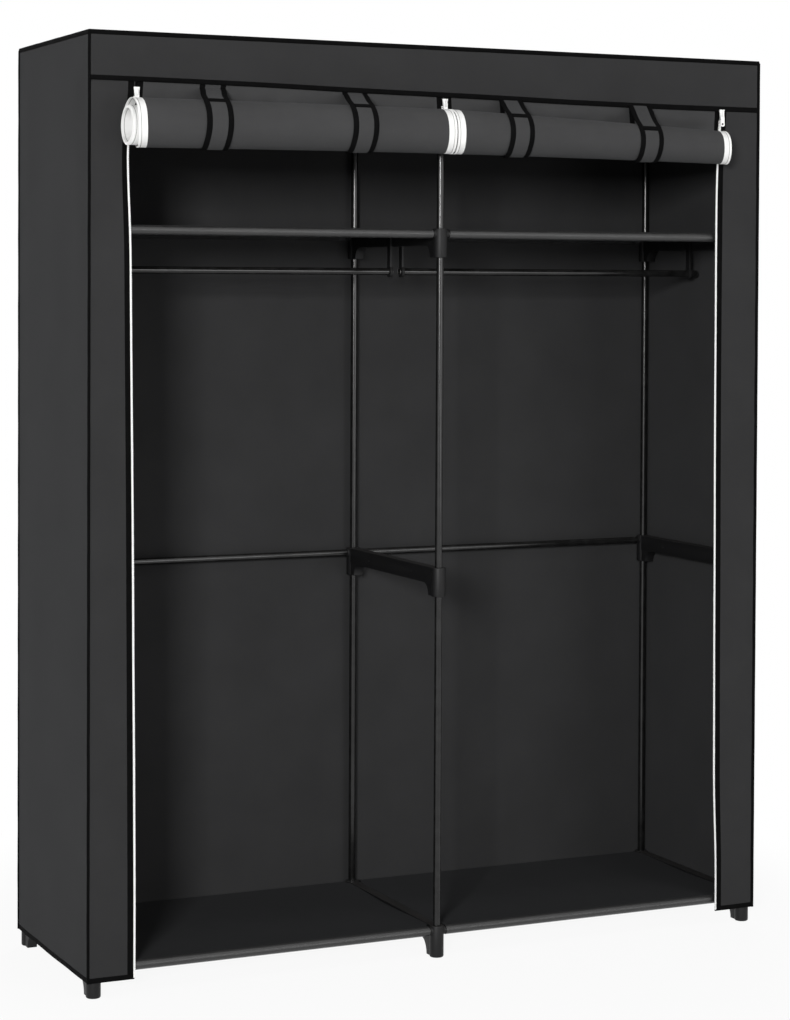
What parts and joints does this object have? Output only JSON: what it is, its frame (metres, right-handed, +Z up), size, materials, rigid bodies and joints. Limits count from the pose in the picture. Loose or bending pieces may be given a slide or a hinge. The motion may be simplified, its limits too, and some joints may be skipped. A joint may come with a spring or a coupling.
{
  "type": "portable fabric wardrobe",
  "caption": "Free-standing wardrobe: a black tube frame inside a dark cloth cover, with rolled-up front doors, hanging rods and cloth shelves.",
  "frame": {"origin": "on the floor, at the middle of the overall width and of the overall depth with the rolled doors", "axes": "+X to the right seen from the front, +Y to the back, +Z up; the doors face -Y"},
  "size_m": [1.4, 0.5313, 1.73],
  "materials": {
    "cover_cloth": "matte non-woven cloth, dark charcoal",
    "deck_cloth": "non-woven cloth, near black with a slight sheen",
    "strap": "dark strap with black bound edges",
    "tube": "black powder-coated thin steel tube, satin",
    "plastic": "black moulded plastic, satin",
    "zip": "white enamel"
  },
  "bodies": {
    "root": {"post_front_left": "tube", "post_front_centre": "tube", "post_front_right": "tube", "post_rear_left": "tube", "post_rear_centre": "tube", "post_rear_right": "tube", "floor_beam_left": "plastic", "floor_beam_centre": "plastic", "floor_beam_right": "plastic", "floor_rail_front_left": "tube", "floor_rail_rear_left": "tube", "floor_cloth_left": "deck_cloth", "floor_rail_front_right": "tube", "floor_rail_rear_right": "tube", "floor_cloth_right": "deck_cloth", "middle_beam_left": "plastic", "middle_beam_centre": "plastic", "middle_beam_right": "plastic", "middle_rail_rear_left": "tube", "middle_rail_rear_right": "tube", "shelf_beam_left": "plastic", "shelf_beam_centre": "plastic", "shelf_beam_right": "plastic", "shelf_rail_front_left": "tube", "shelf_rail_rear_left": "tube", "shelf_cloth_left": "deck_cloth", "shelf_rail_front_right": "tube", "shelf_rail_rear_right": "tube", "shelf_cloth_right": "deck_cloth", "roof_beam_left": "plastic", "roof_beam_centre": "plastic", "roof_beam_right": "plastic", "roof_rail_front_left": "tube", "roof_rail_rear_left": "tube", "roof_rail_front_right": "tube", "roof_rail_rear_right": "tube", "rod_saddle_left": "plastic", "rod_saddle_centre": "plastic", "rod_saddle_right": "plastic", "cover_roof": "cover_cloth", "cover_side_left": "cover_cloth", "cover_side_right": "cover_cloth", "cover_back": "cover_cloth", "cover_front_left": "cover_cloth", "cover_front_right": "cover_cloth", "cover_valance": "cover_cloth"},
    "left_door": {"door_roll_left": "cover_cloth", "strap_left_outer": "strap", "strap_left_inner": "strap"},
    "right_door": {"door_roll_right": "cover_cloth", "strap_right_outer": "strap", "strap_right_inner": "strap"},
    "left_rod": {"hanging_rod_left": "tube"},
    "right_rod": {"hanging_rod_right": "tube"},
    "left_slider": {"zip_slider_left": "zip"},
    "left_pull": {"zip_pull_left": "zip"},
    "centre_slider": {"zip_slider_centre": "zip"},
    "centre_pull": {"zip_pull_centre": "zip"},
    "right_slider": {"zip_slider_right": "zip"},
    "right_pull": {"zip_pull_right": "zip"}
  },
  "joints": [
    {"name": "left_door_swing", "type": "hinge", "parent": "root", "child": "left_door", "pos_m": [-0.308, -0.16335, 1.6326], "axis": [-1, 0, 0], "range_deg": [0, 30]},
    {"name": "right_door_swing", "type": "hinge", "parent": "root", "child": "right_door", "pos_m": [0.308, -0.16335, 1.6326], "axis": [-1, 0, 0], "range_deg": [0, 30]},
    {"name": "left_rod_spin", "type": "hinge", "parent": "root", "child": "left_rod", "pos_m": [-0.34865, 0.05065, 1.3057], "axis": [1, 0, 0], "continuous": true},
    {"name": "right_rod_spin", "type": "hinge", "parent": "root", "child": "right_rod", "pos_m": [0.34865, 0.05065, 1.3057], "axis": [1, 0, 0], "continuous": true},
    {"name": "left_zip_slide", "type": "slide", "parent": "root", "child": "left_slider", "axis": [0, 0, -1], "range_m": [0, 1.56]},
    {"name": "left_pull_swing", "type": "hinge", "parent": "left_slider", "child": "left_pull", "pos_m": [-0.612, -0.16995, 1.6233], "axis": [-1, 0, 0], "range_deg": [0, 165]},
    {"name": "centre_zip_slide", "type": "slide", "parent": "root", "child": "centre_slider", "axis": [0, 0, -1], "range_m": [0, 0.012]},
    {"name": "centre_pull_swing", "type": "hinge", "parent": "centre_slider", "child": "centre_pull", "pos_m": [0, -0.16995, 1.6233], "axis": [-1, 0, 0], "range_deg": [0, 165]},
    {"name": "right_zip_slide", "type": "slide", "parent": "root", "child": "right_slider", "axis": [0, 0, -1], "range_m": [0, 1.56]},
    {"name": "right_pull_swing", "type": "hinge", "parent": "right_slider", "child": "right_pull", "pos_m": [0.612, -0.16995, 1.6233], "axis": [-1, 0, 0], "range_deg": [0, 165]}
  ]
}
